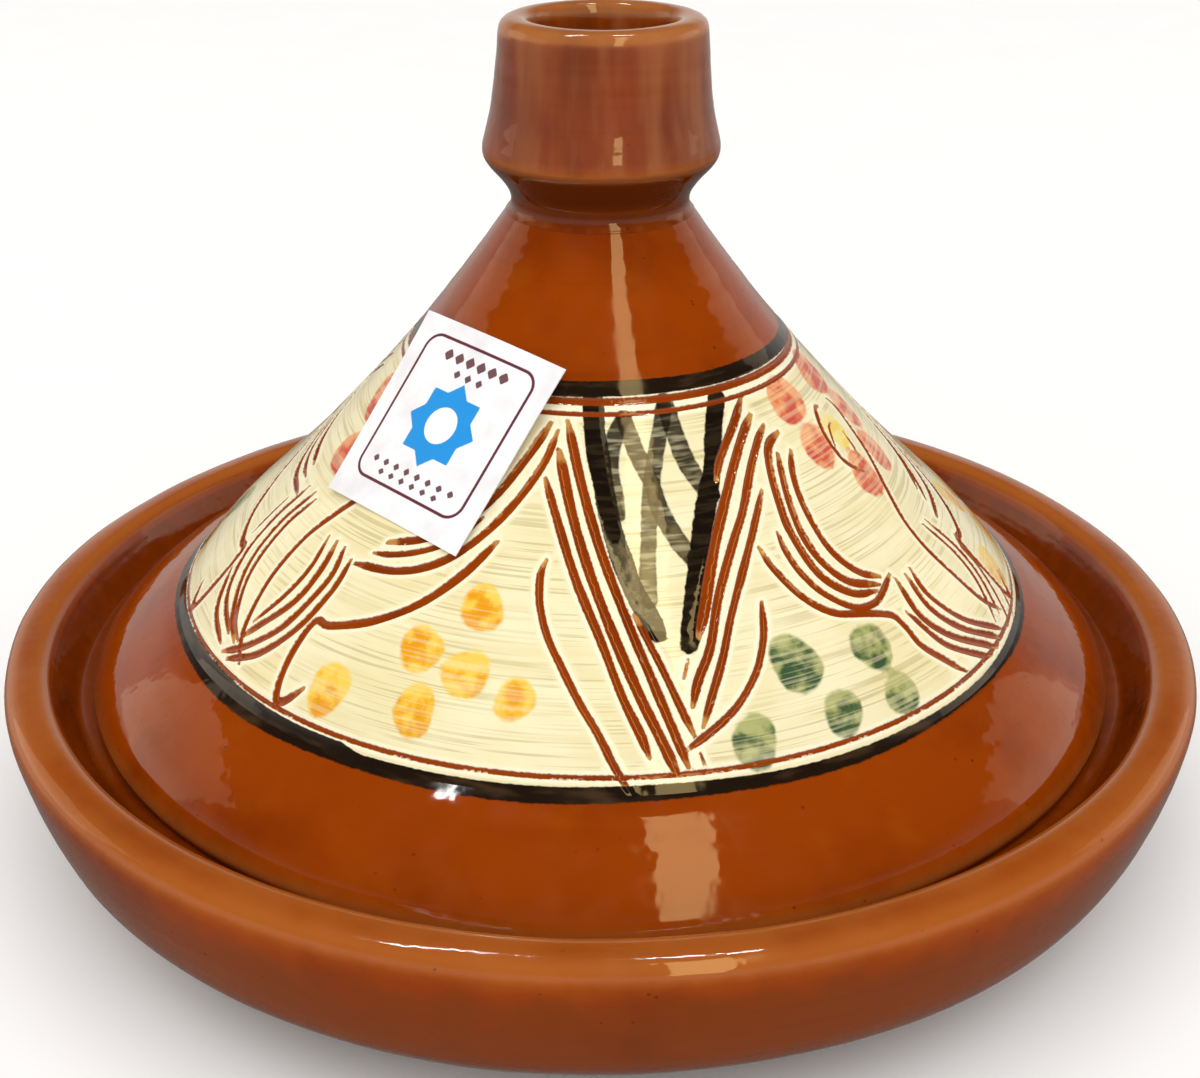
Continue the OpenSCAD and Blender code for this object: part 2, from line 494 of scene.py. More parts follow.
# Hanging curves from a point to the flower on its right; the last line runs on down
RIGHT_SWAG = (
    (1.9, [(24.3, 59), (24.3, 53), (25.2, 46), (27.4, 39), (31.2, 33), (35.1, 31.7),
           (38.1, 33.2), (42.1, 36.2)]),
    (2.3, [(37.2, 85.8), (31.9, 83), (28.9, 75.5), (27, 64.2), (26.6, 57.1), (27.9, 44.3), (31.9, 36.5),
           (36.6, 34.2)]),
    (2.2, [(33.4, 80), (30.8, 71), (29.2, 62), (28.9, 54), (29.9, 46.5), (32.7, 39.6), (38, 35.2)]),
    (2.1, [(38.2, 79.5), (34.9, 73), (33.2, 65), (32.8, 55), (33.6, 47.5), (36.2, 40.7), (39.8, 36.8)]),
    (2.0, [(18.7, 56.4), (20, 49.3), (22.8, 40), (26.6, 33.7), (32, 30.3), (35.1, 28), (36.6, 26),
           (37.4, 21.5), (38.1, 15.4), (41.5, 6.2), (43.3, 1.6)]),
)
# Hanging curves from a point to the flower on its left; the last line runs on down
LEFT_SWAG = (
    (2.2, [(-22.9, 97), (-27.4, 85.6), (-32.6, 72.5), (-38, 63), (-44, 57), (-50.6, 53)]),
    (1.6, [(-33, 67), (-38, 58.5), (-43, 53.6), (-48, 50.5), (-52, 49)]),
    (2.1, [(-20.6, 94.8), (-23.2, 83.6), (-28.4, 70), (-34, 58.5), (-39.5, 51), (-46, 46.5),
           (-54.4, 44.4)]),
    (2.2, [(-28.6, 61), (-33.3, 50), (-38.8, 39.8), (-45, 32.2), (-51.5, 27), (-54.3, 26.6), (-55.1, 18),
           (-54.7, 8), (-53.7, 2), (-52.4, 2.6), (-50.2, 8.7)]),
)
# For each point its two swags, each with how much wider (mirrored if below 0) and higher it hangs
SWAGS = (
    ((RIGHT_SWAG, 1, 0), (LEFT_SWAG, 1, 0)),
    ((RIGHT_SWAG, 0.95, 3), (LEFT_SWAG, 0.92, -9)),
    ((LEFT_SWAG, -0.95, 4), (LEFT_SWAG, 0.84, 1)),
)
# Leaves below each flower, one wide and one narrow, drawn from the shoulders down to the tip
BROAD_LEAF = (
    (1.2, [(-16.7, 45.5), (-17.2, 39), (-17, 30.8)]),
    (1.8, [(-13, 52.9), (-14.8, 39.7), (-13.3, 26.4), (-9, 15.4), (-2.3, 8.7)]),
    (1.9, [(-9.7, 53.6), (-12.3, 39.7), (-10.3, 25.7), (-5, 13.9), (-0.3, 8)]),
    (1.8, [(-7.5, 52.2), (-9.8, 39.7), (-8, 25.7), (-3, 13.1), (0.7, 9.1)]),
    (2.0, [(-13.7, 20.5), (-9, 10.2), (-2.7, 4.7)]),
    (1.7, [(3.6, 47.4), (4.6, 37), (3.8, 27.6), (1.3, 16.4)]),
    (2.3, [(6.2, 47.4), (7.1, 37), (6.2, 26.6), (1, 10.8)]),
    (2.0, [(8.4, 47), (9.6, 37), (7.4, 21.5), (2.9, 10.3), (-1.6, 3.1)]),
    (2.0, [(11.7, 44.9), (11.9, 35), (10.2, 22.5), (6, 10.3), (0.5, 2.6)]),
)
SLIM_LEAF = (
    (1.9, [(-17.2, 25.6), (-14, 12.3), (-8.4, 2.1), (-6, -0.9)]),
    (2.2, [(-14.6, 34.2), (-15, 22.5), (-11.5, 12.3), (-5.4, 2.1), (-3.5, -0.9)]),
    (2.0, [(-12.4, 33.7), (-12.6, 22.5), (-8.7, 11.3), (-1.7, -0.4)]),
    (1.8, [(-10, 34.2), (-10.6, 25.6), (-6.9, 13.3), (0.5, 0.6)]),
    (1.7, [(2.6, 38.8), (3.8, 27), (2.9, 16.4), (-0.2, 4.2)]),
    (1.8, [(4.6, 38.8), (5.8, 27), (5, 16.4), (2.3, 4.2)]),
    (1.6, [(9, 28.6), (7.5, 25), (7.2, 16.4), (4.4, 2.1), (2.6, -0.9)]),
    (1.5, [(8.4, 8.2), (7.5, 3.1), (5.7, -2)]),
)
STEM = (1.8, [(8.1, 84.1), (9, 78.5), (5.7, 65.3), (1, 54), (-2.3, 42.9), (-2.6, 29.6), (-0.2, 13.3),
              (3.2, 4.2)])
CURLS = (
    (1.6, [(1, 85), (-1.1, 85.6), (-5, 78.5), (-5.4, 68.3), (-1.2, 61.2)]),
    (1.1, [(1, 79), (-1.1, 78.5), (-4.8, 72.4)]),
    (1.4, [(3, 74.4), (2.3, 69.3), (1, 65.8)]),
)
# Brush strokes inside each point: solid black ones, a thinned one, and two washes in a zigzag
BRUSHED = {
    "heavy": (
        (3.9, [(-12.9, 105), (-12.0, 94), (-10.2, 81), (-8.7, 71), (-7.4, 64)]),
        (5.0, [(23.4, 101.5), (19.5, 93.9), (15.7, 82.6), (12.2, 73.4), (8.6, 62), (5.6, 49.3), (2.6, 34)]),
        (3.2, [(-1.9, 37.2), (-0.5, 36.8)]),
        (3.9, [(2.9, 34.4), (2.2, 33.4)]),
        (2.8, [(12.5, 73.6), (14.6, 72.8)]),
        (2.2, [(5.0, 56.8), (6.6, 56.4)]),
    ),
    "thinned": (
        (5.2, [(-11.6, 105), (-10.9, 94), (-9.3, 81), (-7.4, 66), (-4.6, 51), (-2.6, 43), (-1.3, 37.5)]),
    ),
    "wash_a": (
        (4.2, [(-2.1, 46), (-1.8, 54.3), (0.5, 75.2), (2.9, 86.8), (6.2, 97.2), (7.7, 103)]),
        (3.9, [(-4.0, 99), (-6.8, 92.6), (-7.6, 83.3), (-6.6, 70)]),
    ),
    "wash_b": (
        (4.5, [(-4.0, 99), (-1.8, 89.1), (0.9, 78.7), (2.2, 69.4), (5.6, 57)]),
        (4.8, [(7.9, 103), (8.8, 92.6), (10.1, 83.3), (12.6, 74)]),
    ),
}
# Finger dabs: angle, per cent up the field and radius; petals are dabs round a heart
ORANGE_DABS = ((-28.4, 42.4, 5.7), (-35.7, 29.1, 5.9), (-28.2, 25, 6.0), (-21, 20, 5.1), (-46.8, 11.3, 6.3),
               (-33.8, 12.8, 5.9))
GREEN_DABS = ((17.4, 24.2, 7.0), (30, 21.8, 6.1), (31, 6.7, 5.4), (21.4, 7.9, 5.6), (8.8, 6.2, 6.1))
LOW_PETALS = ((-13.5, 87.5, 7.6), (-9.5, 68.5, 7.0), (4, 66.5, 6.3), (13, 74, 6.0), (9, 90, 7.0))
PETALS = ((-10.3, 92.8, 7.0), (-10, 76.5, 6.3), (-1.7, 61.2, 6.4), (10.3, 62.2, 6.2), (14.3, 76.5, 6.0),
          (11.8, 92.8, 7.2))
HEART = (0.2, 76.5, 5.2)


def placed(points, axis, stretch=1.0, rise=0.0):
    """Points of a motif moved to its axis, drawn a little differently each time.

    The motif is stretched sideways, and its far end is raised to meet the next one.
    """
    sway = random.uniform(-0.35, 0.35)
    last = len(points) - 1
    return [(axis + (x + sway) * stretch, y + rise * i / last) for i, (x, y) in enumerate(points)]


def all_round(strokes):
    """The strokes with the copies of them that overlap the seam of the unrolled cone."""
    out = []
    for s in strokes:
        for turns in (-1, 0, 1):
            angle = cone.polar(s.line)[0] + 360 * turns
            if angle.max() > -192 and angle.min() < 192:
                out.append(s.turned(turns))
    return out


def cut_lines():
    """Every cut line of the field, as strokes."""
    strokes = []
    for axis, both in zip(V_AXES, SWAGS):
        for width, points in LEFT_FLANK + RIGHT_FLANK:
            strokes.append(Stroke(placed(points, axis), width))
        for swag, stretch, rise in both:
            for width, points in swag[:-1]:
                strokes.append(Stroke(placed(points, axis, stretch, rise), width))
            width, points = swag[-1]
            strokes.append(Stroke(placed(points, axis, stretch), width))
    for axis, leaf in zip(FLOWER_AXES, (SLIM_LEAF, SLIM_LEAF, BROAD_LEAF)):
        for width, points in (STEM, *CURLS, *leaf):
            strokes.append(Stroke(placed(points, axis), width))
    return all_round(strokes)


def brush_strokes(shapes):
    """Painted strokes of every pointed motif."""
    return all_round([Stroke(placed(points, axis), width, taper=(0.9, 0.8), fade=3)
                      for axis in V_AXES for width, points in shapes])


def nearest(strokes, points, reach=12.0):
    """Distance outside the nearest stroke, and there the way from its nearer end and the half-width."""
    best = np.full(len(points), reach)
    inward = np.zeros(len(points))
    half = np.ones(len(points))
    for s in strokes:
        low = s.line.min(0) - reach
        high = s.line.max(0) + reach
        near = np.where(((points > low) & (points < high)).all(1))[0]
        gap, along, width = s.measure(points[near])
        closer = gap < best[near]
        hit = near[closer]
        best[hit] = gap[closer]
        inward[hit] = np.minimum(along, s.along[-1] - along)[closer]
        half[hit] = width[closer]
    return best, inward, half


# ---------------------------------------------------------------- the slip band

# A cut's profile: the slope that sets its depth, its greatest depth, how far its wall runs
# inside and outside the drawn edge, and the burr that the tool pushed up beside it
CUT_SLOPE = 0.50
CUT_DEEPEST = 0.62
WALL_IN = 0.42
WALL_OUT = 0.12
BURR_H = 0.14
BURR_W = 1.1
# Rings cut round the band: width, and height of the middle
RINGS = ((1.25, FIELD_LOW), (1.25, FIELD_HIGH), (2.0, RIDGE[1] + 68.0))
# Rows of mesh points beside a cut: distance outside its edge, and whether they stay joined
RAILS = ((-WALL_IN, False), (WALL_OUT, True), (0.75, False))
# Spacing of the band's other mesh points, and how far they are shaken, as a share of it
GRID = 1.7
SHAKE = 0.14
# Degrees from the front at which the unrolled mesh ends, past the seam at 180
LAP = 186.5
# How far the shell's inner face lies inside the cone's side
SLIP_T = 0.9


def relief(gap, half):
    """Height of the surface at a distance outside a cut of a half-width."""
    depth = np.minimum(CUT_SLOPE * half + 0.05, CUT_DEEPEST)
    inside = np.clip((gap + WALL_IN) / (WALL_IN + WALL_OUT), 0, 1)
    wall = -depth + (depth + BURR_H) * inside * inside * (3 - 2 * inside)
    outside = BURR_H * np.clip(1 - (gap - WALL_OUT) / BURR_W, 0, 1) ** 2
    return np.where(gap < WALL_OUT, wall, outside)


def field_points(cuts):
    """Flat points for the band's mesh, close together where a cut needs them, and the cuts' edges."""
    points = []
    levels = round(cone.height / (GRID * 0.87))
    for j in range(levels + 1):
        up = cone.height * j / levels
        count = round(2 * math.pi * np.interp(up, cone.up, cone.side[:, 0]) / GRID)
        loose = SHAKE if 0 < j < levels else 0
        angles = [(k + 0.5 * (j % 2) + random.uniform(-loose, loose)) * 360 / count for k in range(count)]
        points += [cone.flat(a - 180, up) for a in angles]
    points = np.array(points)
    angle = cone.polar(points)[0]
    rows = [points, turn_flat(points[angle < -174], 1), turn_flat(points[angle > 174], -1)]
    edges = []

    def add_row(row, joined):
        """Adds points in a row, with the edges between them if they are joined."""
        if joined:
            first = sum(len(r) for r in rows)
            edges.extend((first + i, first + i + 1) for i in range(len(row) - 1))
        rows.append(row)

    round_cone = np.arange(-187.2, 187.3, 0.8)
    for width, z in RINGS:
        for out, joined in RAILS:
            for side in (-1, 1):
                add_row(cone.flat(round_cone, cone.up_of(z) + side * (width / 2 + out)), joined)
    for s in cuts:
        for out, joined in RAILS:
            for row in s.offset(out):
                add_row(row, joined)
        add_row(s.line, False)
    points = np.vstack(rows)
    angle, up = cone.polar(points)
    keep = (up > -0.01) & (up < cone.height + 0.01) & (np.abs(angle) < LAP)
    new = np.cumsum(keep) - 1
    edges = [(int(new[a]), int(new[b])) for a, b in edges if keep[a] and keep[b]]
    return points[keep], edges


def field_mesh(cuts):
    """The band's flat points and the triangles of one turn round the cone."""
    points, edges = field_points(cuts)
    result = delaunay_2d_cdt([Vector(p) for p in points], edges, [], 0, 1e-3)
    flat = np.array([tuple(v) for v in result[0]])
    angle, up = cone.polar(flat)
    triangles = np.array([tuple(f) for f in result[2] if len(f) == 3])
    middle = angle[triangles].mean(1)
    # Not the ones that bridge the open sector or the hole in the middle
    bridge = (np.ptp(angle[triangles], axis=1) > 20) | (up[triangles].min(1) > cone.height - 0.01)
    return flat, triangles[(middle >= -180) & (middle < 180) & ~bridge]


def stitch(near, far):
    """Triangles between two rings of (point number, angle) that go round the same way."""
    near = sorted(near, key=lambda p: p[1])
    far = sorted(far, key=lambda p: p[1])
    i = j = 0
    faces = []
    while i < len(near) or j < len(far):
        a = near[i % len(near)][0]
        b = far[j % len(far)][0]
        near_next = near[i + 1][1] if i + 1 < len(near) else near[0][1] + 360
        far_next = far[j + 1][1] if j + 1 < len(far) else far[0][1] + 360
        if j >= len(far) or (i < len(near) and near_next <= far_next):
            faces.append((a, near[(i + 1) % len(near)][0], b))
            i += 1
        else:
            faces.append((a, far[(j + 1) % len(far)][0], b))
            j += 1
    return faces


def shell_behind(triangles, angle, up):
    """Points of the band's inner face, and the faces that close the band behind its triangles."""
    used = [i for i in np.unique(triangles) if -180.01 <= angle[i] < 179.99]
    low_rim = [(i, angle[i]) for i in used if up[i] < 0.01]
    top_rim = [(i, angle[i]) for i in used if up[i] > cone.height - 0.01]
    levels = np.linspace(0, cone.height, 9)
    turns = np.arange(-180, 180, 3.0)
    back = np.vstack([cone.place(turns, np.full(len(turns), level), -SLIP_T) for level in levels])
    rings = [[(len(angle) + n * len(turns) + k, a) for k, a in enumerate(turns)]
             for n in range(len(levels))]
    faces = stitch(rings[0], low_rim)
    for a, b in zip(rings[1:], rings):
        faces += stitch(a, b)
    return back, faces + stitch(top_rim, rings[-1])


def shape_gap(flat, shapes):
    """Distance outside the nearest dab, that dab's number, and how low the place is in it."""
    best = np.full(len(flat), 12.0)
    which = np.zeros(len(flat), int)
    low = np.zeros(len(flat))
    for number, (axis, percent, radius) in enumerate(shapes):
        for turns in (-1, 0, 1):
            if abs(axis + 360 * turns) > 200:
                continue
            middle = cone.spot(axis + 360 * turns, percent)
            rel = flat - middle
            outward = middle / np.hypot(*middle)
            down = rel @ outward
            across = rel @ np.array([-outward[1], outward[0]])
            turn = np.arctan2(down, across)
            lumps = 0.07 * np.sin(2 * turn + number) + 0.05 * np.sin(3 * turn + 2.3 * number)
            gap = np.hypot(across * 1.08, down * 0.94) - radius * (1 + lumps)
            closer = gap < best
            best = np.where(closer, gap, best)
            which = np.where(closer, number, which)
            low = np.where(closer, down / radius, low)
    return best, which, low


def make_band():
    """The slip coat of the cone: cuts in relief, and the paint as values on its points."""
    cuts = cut_lines()
    flat, triangles = field_mesh(cuts)
    angle, up = cone.polar(flat)
    gap, inward, half = nearest(cuts, flat)
    lift = relief(gap, half)
    ring_gap = np.full(len(flat), 9.0)
    for width, z in RINGS:
        ring = np.abs(up - cone.up_of(z)) - width / 2
        ring_lift = relief(ring, np.full(len(flat), width / 2))
        sunk = (ring_lift < 0) | (lift < 0)
        lift = np.where(sunk, np.minimum(lift, ring_lift), np.maximum(lift, ring_lift))
        ring_gap = np.minimum(ring_gap, ring)
    hand = [unevenness(*p, 30) * 0.20 + unevenness(*p, 9) * 0.06 for p in cone.place(angle, up, 0)]
    # Nothing stands proud at the band's two ends, where it meets the clay
    ends = np.clip(np.minimum(up, cone.height - up) / 1.5, 0, 1)
    points = cone.place(angle, up, (lift + np.array(hand)) * ends)
    back, back_faces = shell_behind(triangles, angle, up)
    faces = [tuple(int(i) for i in t) for t in triangles] + back_faces
    obj = mesh_object("slip_band", np.vstack([points, back]), faces, sharp=75)

    paint = {
        "cut": np.minimum(np.minimum(gap, ring_gap), FAR),
        "scraped": np.where(gap < ring_gap, inward, 9),
        "band": band_gap(angle, up),
    }
    for name, shapes in BRUSHED.items():
        paint[name] = nearest(brush_strokes(shapes), flat)[0]
    dabs = [(axis + a, y, r) for axis in V_AXES for a, y, r in ORANGE_DABS + GREEN_DABS]
    petals = [(axis + a, y, r) for axis, flower in zip(FLOWER_AXES, (PETALS, PETALS, LOW_PETALS))
              for a, y, r in flower]
    hearts = [(axis + a, y, r) for axis in FLOWER_AXES for a, y, r in (HEART,)]
    tints = ([ORANGE] * len(ORANGE_DABS) + [GREEN] * len(GREEN_DABS)) * len(V_AXES)
    tints = np.array(tints + [RED] * len(petals) + [YELLOW] * len(hearts))
    paint["dab"], which, paint["dab_low"] = shape_gap(flat, dabs + petals + hearts)
    for name, values in paint.items():
        add_values(obj, name, np.concatenate([values, np.full(len(back), FAR)]))
    for number, name in enumerate(("dab_thin", "dab_dense")):
        add_tints(obj, name, np.vstack([tints[which, number], np.ones((len(back), 3))]))
    weld(obj)
    return obj


def band_gap(angle, up):
    """Distance outside the two black bands, whose edges wander as the brush was held by hand."""
    a = np.radians(angle)
    top_low = cone.up_of(RIDGE[1] + 68.8) + 0.16 * np.sin(2 * a + 0.6) + 0.10 * np.sin(7 * a)
    top_high = cone.up_of(RIDGE[1] + 71.9) + 0.20 * np.sin(3 * a + 1.0) + 0.10 * np.sin(8 * a)
    # The lower band is wider on the left, where it was painted twice
    second_coat = np.clip((angle + 105) / 20, 0, 1) * np.clip((-29 - angle) / 3, 0, 1)
    low_high = 2.0 + 1.4 * second_coat + 0.25 * np.sin(5 * a + 1.2) + 0.15 * np.sin(11 * a)
    low_low = -0.9 + 0.4 * np.sin(2 * a - 0.5) + 0.2 * np.sin(9 * a)
    upper = np.maximum(top_low - up, up - top_high)
    return np.minimum(upper, np.maximum(low_low - up, up - low_high))


def weld(obj):
    """Joins the points that lie on each other at the seam, and drops unused ones."""
    mesh = bmesh.new()
    mesh.from_mesh(obj.data)
    bmesh.ops.remove_doubles(mesh, verts=mesh.verts, dist=0.02 * MM)
    loose = [v for v in mesh.verts if not v.link_faces]
    bmesh.ops.delete(mesh, geom=loose, context="VERTS")
    mesh.to_mesh(obj.data)
    mesh.free()


# ---------------------------------------------------------------- the label

# The label's size and place, as the CAD model has them
LABEL_TURN = -41.5
LABEL_TILT = -4.6
LABEL_W = 48.0
LABEL_H = 51.0
# The gap under the CAD sheet, and the heights of the label's front and back above it
LABEL_GAP = 0.15
LABEL_LAYERS = (0.32, 0.02)
# The print: the star's height and radius, the radius of its heart, and the rows of lozenges,
# each with its height, its count and the half-height of a lozenge, at a spacing
STAR_Y = 0.4
STAR_R = 11.4
HEART_R = 4.8
LOZENGES = ((17.2, 6, 1.7), (13.4, 3, 1.2), (-13.4, 8, 1.1), (-16.0, 6, 1.0))
LOZENGE_PITCH = 3.9


def make_label():
    """A paper label that bends a little to the cone, with the distances its print needs."""
    along = np.hypot(*(WAIST - (NECK_R, NECK_Z)))
    high, low = [bow_point((NECK_R, NECK_Z), WAIST, CONE_BOW, 0.5 + s * LABEL_H / 2 / along)
                 for s in (-1, 1)]
    middle = (high + low) / 2
    slope = np.array([low[0] - high[0], high[1] - low[1]]) / np.hypot(*(low - high))
    columns = 96
    rows = 102
    grid = [(LABEL_W * (i / columns - 0.5), LABEL_H * (j / rows - 0.5))
            for j in range(rows + 1) for i in range(columns + 1)]
    verts = [label_point(x, y, layer, middle, slope) for layer in LABEL_LAYERS for x, y in grid]
    wide = columns + 1
    back = len(grid)
    faces = []
    for j in range(rows):
        for i in range(columns):
            a = j * wide + i
            faces.append((a, a + 1, a + 1 + wide, a + wide))
            faces.append((back + a, back + a + wide, back + a + 1 + wide, back + a + 1))
    rim = list(range(columns)) + [columns + j * wide for j in range(rows)]
    rim += [rows * wide + i for i in range(columns, 0, -1)] + [j * wide for j in range(rows, 0, -1)]
    for a, b in zip(rim, rim[1:] + rim[:1]):
        faces.append((b, a, back + a, back + b))
    obj = mesh_object("paper_label", verts, faces)
    x, y = np.array(grid * len(LABEL_LAYERS)).T
    add_values(obj, "frame_gap", rounded_box(x, y - 1.2, LABEL_W / 2 - 5.2, LABEL_H / 2 - 5.6, 4.2))
    add_values(obj, "star_gap", star(x, y - STAR_Y, STAR_R))
    add_values(obj, "heart_gap", np.hypot(x, y - STAR_Y) - HEART_R)
    add_values(obj, "lozenge_gap", lozenges(x, y))
    return obj


def label_point(x, y, layer, middle, slope):
    """Place of a point of the label, in millimetres across and up from its middle."""
    tilt = math.radians(LABEL_TILT)
    turn = math.radians(LABEL_TURN)
    u = x * math.cos(tilt) - y * math.sin(tilt)
    v = x * math.sin(tilt) + y * math.cos(tilt)
    # The sides bend back to the cone and wave, and the upper left corner curls off it
    corner = max(0, -x / 24 + y / 26 - 1.1)
    lift = layer + LABEL_GAP - 0.0024 * u * u
    lift += 0.9 * corner * corner + 0.10 * math.sin(y / 9) * (u / 24) ** 2
    out = middle[0] - v * slope[0] + lift * slope[1]
    z = middle[1] + v * slope[1] + lift * slope[0]
    return (u * math.cos(turn) + out * math.sin(turn), u * math.sin(turn) - out * math.cos(turn), z)


def rounded_box(x, y, half_w, half_h, radius):
    """Distance outside a rounded rectangle."""
    dx = np.abs(x) - half_w + radius
    dy = np.abs(y) - half_h + radius
    return np.hypot(np.maximum(dx, 0), np.maximum(dy, 0)) + np.minimum(np.maximum(dx, dy), 0) - radius


def star(x, y, radius):
    """Distance outside an eight-pointed star: two squares, one turned by an eighth."""
    square = np.maximum(np.abs(x), np.abs(y))
    turned_square = np.maximum(np.abs(x + y), np.abs(x - y)) / math.sqrt(2)
    return np.minimum(square, turned_square) - radius / math.sqrt(2)


def lozenges(x, y):
    """Distance outside the small lozenges in rows above and below the star."""
    best = np.full(len(x), 9.0)
    for row, count, size in LOZENGES:
        for k in range(count):
            shift = (k - (count - 1) / 2) * LOZENGE_PITCH
            best = np.minimum(best, np.abs(x - shift) + np.abs(y - row) - size)
    return best


# ---------------------------------------------------------------- materials

def tone(red, green, blue):
    """A colour given as 0 to 255 for a screen, for Blender's own scale."""
    return tuple(((c / 255 + 0.055) / 1.055) ** 2.4 if c > 10 else c / 3294 for c in (red, green, blue))


# Each paint where it lies thin, and where it lies thick
ORANGE = (tone(236, 196, 64), tone(222, 148, 0))
YELLOW = (tone(234, 214, 118), tone(232, 196, 76))
GREEN = (tone(156, 160, 96), tone(44, 76, 46))
RED = (tone(226, 136, 80), tone(190, 44, 18))
INK = tone(30, 21, 11)
# The amber glaze over red clay: three tones of its clouds, then thin on edges, pooled in hollows and as
# painted shade, painted shade on faces that look down, painted light on faces that look up, and the knob's
# tan streaks
CLAY_MID = tone(140, 55, 0)
CLAY_DARK = tone(120, 43, 0)
CLAY_LIGHT = tone(148, 67, 4)
CLAY_EDGE = tone(168, 96, 40)
CLAY_POOL_AND_SHADE = tone(80, 31, 4)
CLAY_UNDER_SHADE = tone(104, 48, 6)
CLAY_TOP_LIGHT = tone(164, 90, 34)
CLAY_TAN = tone(170, 112, 66)


class Nodes:
    """A node tree, with short ways to add and join its nodes."""

    def __init__(self, owner, place):
        owner.use_nodes = True
        self.tree = owner.node_tree
        self.place = self.node("TexCoord").outputs[place]

    def node(self, kind, inputs=None, **settings):
        """A new node, with what its inputs are given: numbers, colours or other nodes' sockets."""
        node = self.tree.nodes.new("ShaderNode" + kind)
        for key, setting in settings.items():
            setattr(node, key, setting)
        for key, given in (inputs or {}).items():
            self.feed(node.inputs[key], given)
        return node

    def feed(self, socket, given):
        """Joins a socket to another node's, or sets it."""
        if isinstance(given, bpy.types.NodeSocket):
            self.tree.links.new(given, socket)
        elif socket.type == "RGBA" and len(given) == 3:
            socket.default_value = (*given, 1)
        else:
            socket.default_value = given

    def up(self):
        """The height of the place."""
        return self.node("SeparateXYZ", {0: self.place}).outputs["Z"]

    def times(self, a, b):
        """The product of two values."""
        return self.node("Math", {0: a, 1: b}, operation="MULTIPLY").outputs[0]

    def ramp(self, value, start, stop, low=0.0, high=1.0):
        """Smooth step from low at start to high at stop."""
        return self.node("MapRange", {"Value": value, "From Min": start, "From Max": stop,
                                      "To Min": low, "To Max": high},
                         interpolation_type="SMOOTHSTEP").outputs[0]


class Finish(Nodes):
    """A material's nodes."""

    def __init__(self, name):
        self.material = bpy.data.materials.new(name)
        super().__init__(self.material, "Object")
        self.shader = self.tree.nodes["Principled BSDF"]
        self.shader.inputs["Specular IOR Level"].default_value = 0.35

    def value(self, name):
        """A number that add_values gave the points."""
        return self.node("Attribute", attribute_name=name).outputs["Fac"]

    def tint(self, name):
        """A colour that add_tints gave the points."""
        return self.node("Attribute", attribute_name=name).outputs["Color"]

    def noise(self, size, stretch=(1, 1, 1), detail=2.0, shift=0.0):
        """Smooth random value from 0 to 1, with features of a size in millimetres."""
        scale = [1 / (size * MM * s) for s in stretch]
        where = self.node("Mapping", {"Vector": self.place, "Location": (shift, shift, shift),
                                      "Scale": scale}).outputs[0]
        return self.node("TexNoise", {"Vector": where, "Scale": 1.0, "Detail": detail}).outputs["Fac"]

    def sum(self, a, b, by=1.0):
        """a + b times by."""
        return self.node("Math", {0: b, 1: by, 2: a}, operation="MULTIPLY_ADD").outputs[0]

    def mix(self, a, b, share):
        """Colour between a and b."""
        return self.node("Mix", {0: share, 6: a, 7: b}, data_type="RGBA").outputs[2]

    def bump(self, height, depth, normal=None):
        """A normal from a height from 0 to 1 that stands for depth millimetres."""
        inputs = {"Height": height, "Distance": depth * MM}
        if normal is not None:
            inputs["Normal"] = normal
        return self.node("Bump", inputs).outputs[0]

    def finish(self, colour, roughness, normal):
        """Joins the material's colour, roughness and normal to its shader."""
        self.feed(self.shader.inputs["Base Color"], colour)
        self.feed(self.shader.inputs["Roughness"], roughness)
        self.feed(self.shader.inputs["Normal"], normal)
        return self.material


def clay_colour(f, bending=None, under=None):
    """Amber glaze over red clay: cloudy, pooled in the hollows, thin on the edges, and painted darker on
    faces that look down, as painted shade.
    """
    colour = f.mix(CLAY_MID, CLAY_DARK, f.ramp(f.noise(34, detail=3), 0.45, 0.72))
    colour = f.mix(colour, CLAY_LIGHT, f.ramp(f.noise(15, detail=4, shift=3.1), 0.52, 0.80, 0, 0.55))
    rings = f.noise(2.2, (40, 40, 1), detail=2, shift=1.7)
    colour = f.mix(colour, CLAY_DARK, f.ramp(rings, 0.52, 0.80, 0, 0.35))
    if bending is not None:
        # Paler where the glaze runs thin on edges, darker where it pools in hollows; these values also
        # carry painted shade at the knob's neck and in the dish's lid channel, and painted light in the
        # knob's cup
        wear_and_shade = f.sum(bending, f.noise(5, detail=3, shift=8.0), 0.25)
        colour = f.mix(colour, CLAY_EDGE, f.ramp(wear_and_shade, 0.18, 0.85, 0, 0.6))
        colour = f.mix(colour, CLAY_POOL_AND_SHADE, f.ramp(wear_and_shade, 0.0, -0.45, 0, 0.7))
    if under is not None:
        # Painted shade: faces that look down are painted darker, the most downward ones darkest
        lower = f.sum(under, f.noise(9, (1, 1, 1.6), detail=4, shift=18.0), 0.22)
        colour = f.mix(colour, CLAY_UNDER_SHADE, f.ramp(lower, 0.20, 0.36, 0, 0.6))
        colour = f.mix(colour, CLAY_POOL_AND_SHADE, f.ramp(under, 0.30, 0.85, 0, 0.75))
    # Specks: in a few places, the middles of small cells
    grains = f.node("TexVoronoi", {"Vector": f.place, "Scale": 330.0})
    picked = f.ramp(f.noise(3.2, detail=0, shift=5.5), 0.66, 0.70)
    speck = f.times(f.ramp(grains.outputs["Distance"], 0.18, 0.08), picked)
    return f.mix(colour, CLAY_POOL_AND_SHADE, f.times(speck, 0.75))


def glazed(f, colour, rings):
    """The material with a gloss that isn't quite even, over the wheel's rings and a ripple."""
    gloss = f.ramp(f.noise(7, detail=4, shift=9.0), 0.35, 0.75, 0.04, 0.12)
    normal = f.bump(f.noise(2.2, (20, 20, 1), detail=0, shift=4.0), 0.8 * rings)
    normal = f.bump(f.noise(4.5, detail=1, shift=6.0), 0.07, normal)
    return f.finish(colour, gloss, normal)


